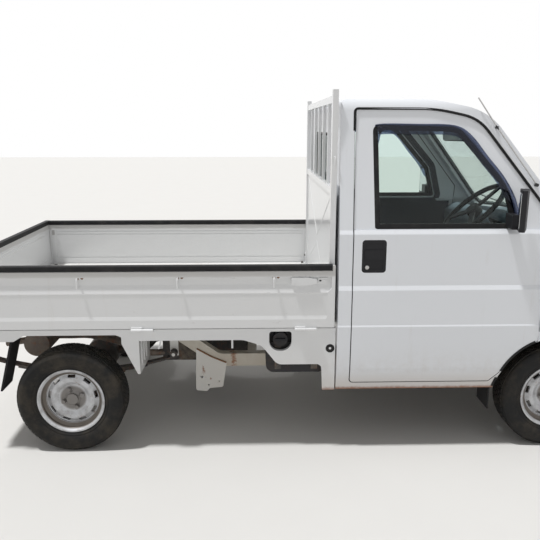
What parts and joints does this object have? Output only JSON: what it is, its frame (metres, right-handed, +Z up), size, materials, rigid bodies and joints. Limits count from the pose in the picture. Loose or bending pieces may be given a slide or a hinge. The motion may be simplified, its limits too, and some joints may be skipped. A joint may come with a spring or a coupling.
{
  "type": "kei truck",
  "caption": "Small cab-forward pickup with a drop-side bed, hinged doors and gates, a guard frame behind the cab and rolling, steered wheels.",
  "frame": {"origin": "on the ground under the middle of the truck", "axes": "+X forward, +Y to the truck's left, +Z up"},
  "size_m": [3.395, 1.7118, 1.757],
  "materials": {
    "white_paint": "gloss",
    "chassis_paint": "satin",
    "cast_metal": "matte",
    "rusty_steel": "matte",
    "bumper_plastic": "satin",
    "black_plastic": "matte",
    "lamp_lens": "gloss",
    "window_glass": "gloss",
    "dash_plastic": "matte",
    "seat_cloth": "matte",
    "plated_steel": "satin",
    "red_lens": "gloss",
    "black_rubber": "matte",
    "tyre": "matte",
    "wheel_paint": "satin"
  },
  "bodies": {
    "chassis": {"frame": "chassis_paint", "cross_members": "chassis_paint", "frame_brackets": "chassis_paint", "engine_block": "cast_metal", "rear_axle": "cast_metal", "leaf_springs": "cast_metal", "front_suspension": "cast_metal", "fuel_tank": "chassis_paint", "muffler": "rusty_steel", "cab_floor": "white_paint", "cab_back": "white_paint", "cab_sides": "white_paint", "roof": "white_paint", "nose_panel": "white_paint", "front_bumper": "bumper_plastic", "grille": "black_plastic", "head_lamps": "lamp_lens", "cab_glass": "window_glass", "dashboard": "dash_plastic", "seats": "seat_cloth", "wipers": "black_plastic", "aerial": "plated_steel", "bed_floor": "white_paint", "bed_skirts": "white_paint", "headboard": "white_paint", "tail_lamps": "red_lens", "mud_flaps": "black_rubber", "splash_plates": "white_paint"},
    "knuckle_right": {"knuckle_right": "cast_metal"},
    "knuckle_left": {"knuckle_left": "cast_metal"},
    "wheel_front_right": {"tyre_front_right": "tyre", "rim_front_right": "wheel_paint"},
    "wheel_front_left": {"tyre_front_left": "tyre", "rim_front_left": "wheel_paint"},
    "wheel_rear_right": {"tyre_rear_right": "tyre", "rim_rear_right": "wheel_paint"},
    "wheel_rear_left": {"tyre_rear_left": "tyre", "rim_rear_left": "wheel_paint"},
    "steering_wheel": {"steering_wheel": "black_plastic"},
    "door_right": {"door_right_shell": "white_paint", "door_right_glass": "window_glass", "door_right_fittings": "black_plastic"},
    "door_left": {"door_left_shell": "white_paint", "door_left_glass": "window_glass", "door_left_fittings": "black_plastic"},
    "gate_right": {"gate_right": "white_paint", "gate_right_rail": "black_rubber"},
    "gate_left": {"gate_left": "white_paint", "gate_left_rail": "black_rubber"},
    "tailgate": {"tailgate": "white_paint", "tailgate_rail": "black_rubber"}
  },
  "joints": [
    {"name": "steer_right", "type": "hinge", "parent": "chassis", "child": "knuckle_right", "pos_m": [1.2725, -0.53, 0.268], "axis": [0, 0, 1], "range_deg": [-34, 34]},
    {"name": "steer_left", "type": "hinge", "parent": "chassis", "child": "knuckle_left", "pos_m": [1.2725, 0.53, 0.268], "axis": [0, 0, 1], "range_deg": [-34, 34]},
    {"name": "roll_front_right", "type": "hinge", "parent": "knuckle_right", "child": "wheel_front_right", "pos_m": [1.2725, -0.642, 0.268], "axis": [0, 1, 0], "continuous": true},
    {"name": "roll_front_left", "type": "hinge", "parent": "knuckle_left", "child": "wheel_front_left", "pos_m": [1.2725, 0.642, 0.268], "axis": [0, 1, 0], "continuous": true},
    {"name": "roll_rear_right", "type": "hinge", "parent": "chassis", "child": "wheel_rear_right", "pos_m": [-1.1475, -0.642, 0.268], "axis": [0, 1, 0], "continuous": true},
    {"name": "roll_rear_left", "type": "hinge", "parent": "chassis", "child": "wheel_rear_left", "pos_m": [-1.1475, 0.642, 0.268], "axis": [0, 1, 0], "continuous": true},
    {"name": "turn_steering_wheel", "type": "hinge", "parent": "chassis", "child": "steering_wheel", "pos_m": [0.925, -0.33, 1.165], "axis": [-0.6691, 0, 0.7431], "range_deg": [-544, 544]},
    {"name": "open_door_right", "type": "hinge", "parent": "chassis", "child": "door_right", "pos_m": [1.1475, -0.7375, 0.8], "axis": [0, 0, 1], "range_deg": [0, 68]},
    {"name": "open_door_left", "type": "hinge", "parent": "chassis", "child": "door_left", "pos_m": [1.1475, 0.7375, 0.8], "axis": [0, 0, -1], "range_deg": [0, 68]},
    {"name": "drop_gate_right", "type": "hinge", "parent": "chassis", "child": "gate_right", "pos_m": [-0.75, -0.731, 0.645], "axis": [1, 0, 0], "range_deg": [0, 175]},
    {"name": "drop_gate_left", "type": "hinge", "parent": "chassis", "child": "gate_left", "pos_m": [-0.75, 0.731, 0.645], "axis": [-1, 0, 0], "range_deg": [0, 175]},
    {"name": "drop_tailgate", "type": "hinge", "parent": "chassis", "child": "tailgate", "pos_m": [-1.6905, 0, 0.645], "axis": [0, -1, 0], "range_deg": [0, 175]}
  ],
  "couplings": [
    {"joint": "steer_left", "follows": "steer_right", "ratio": 1},
    {"joint": "turn_steering_wheel", "follows": "steer_right", "ratio": 16}
  ]
}
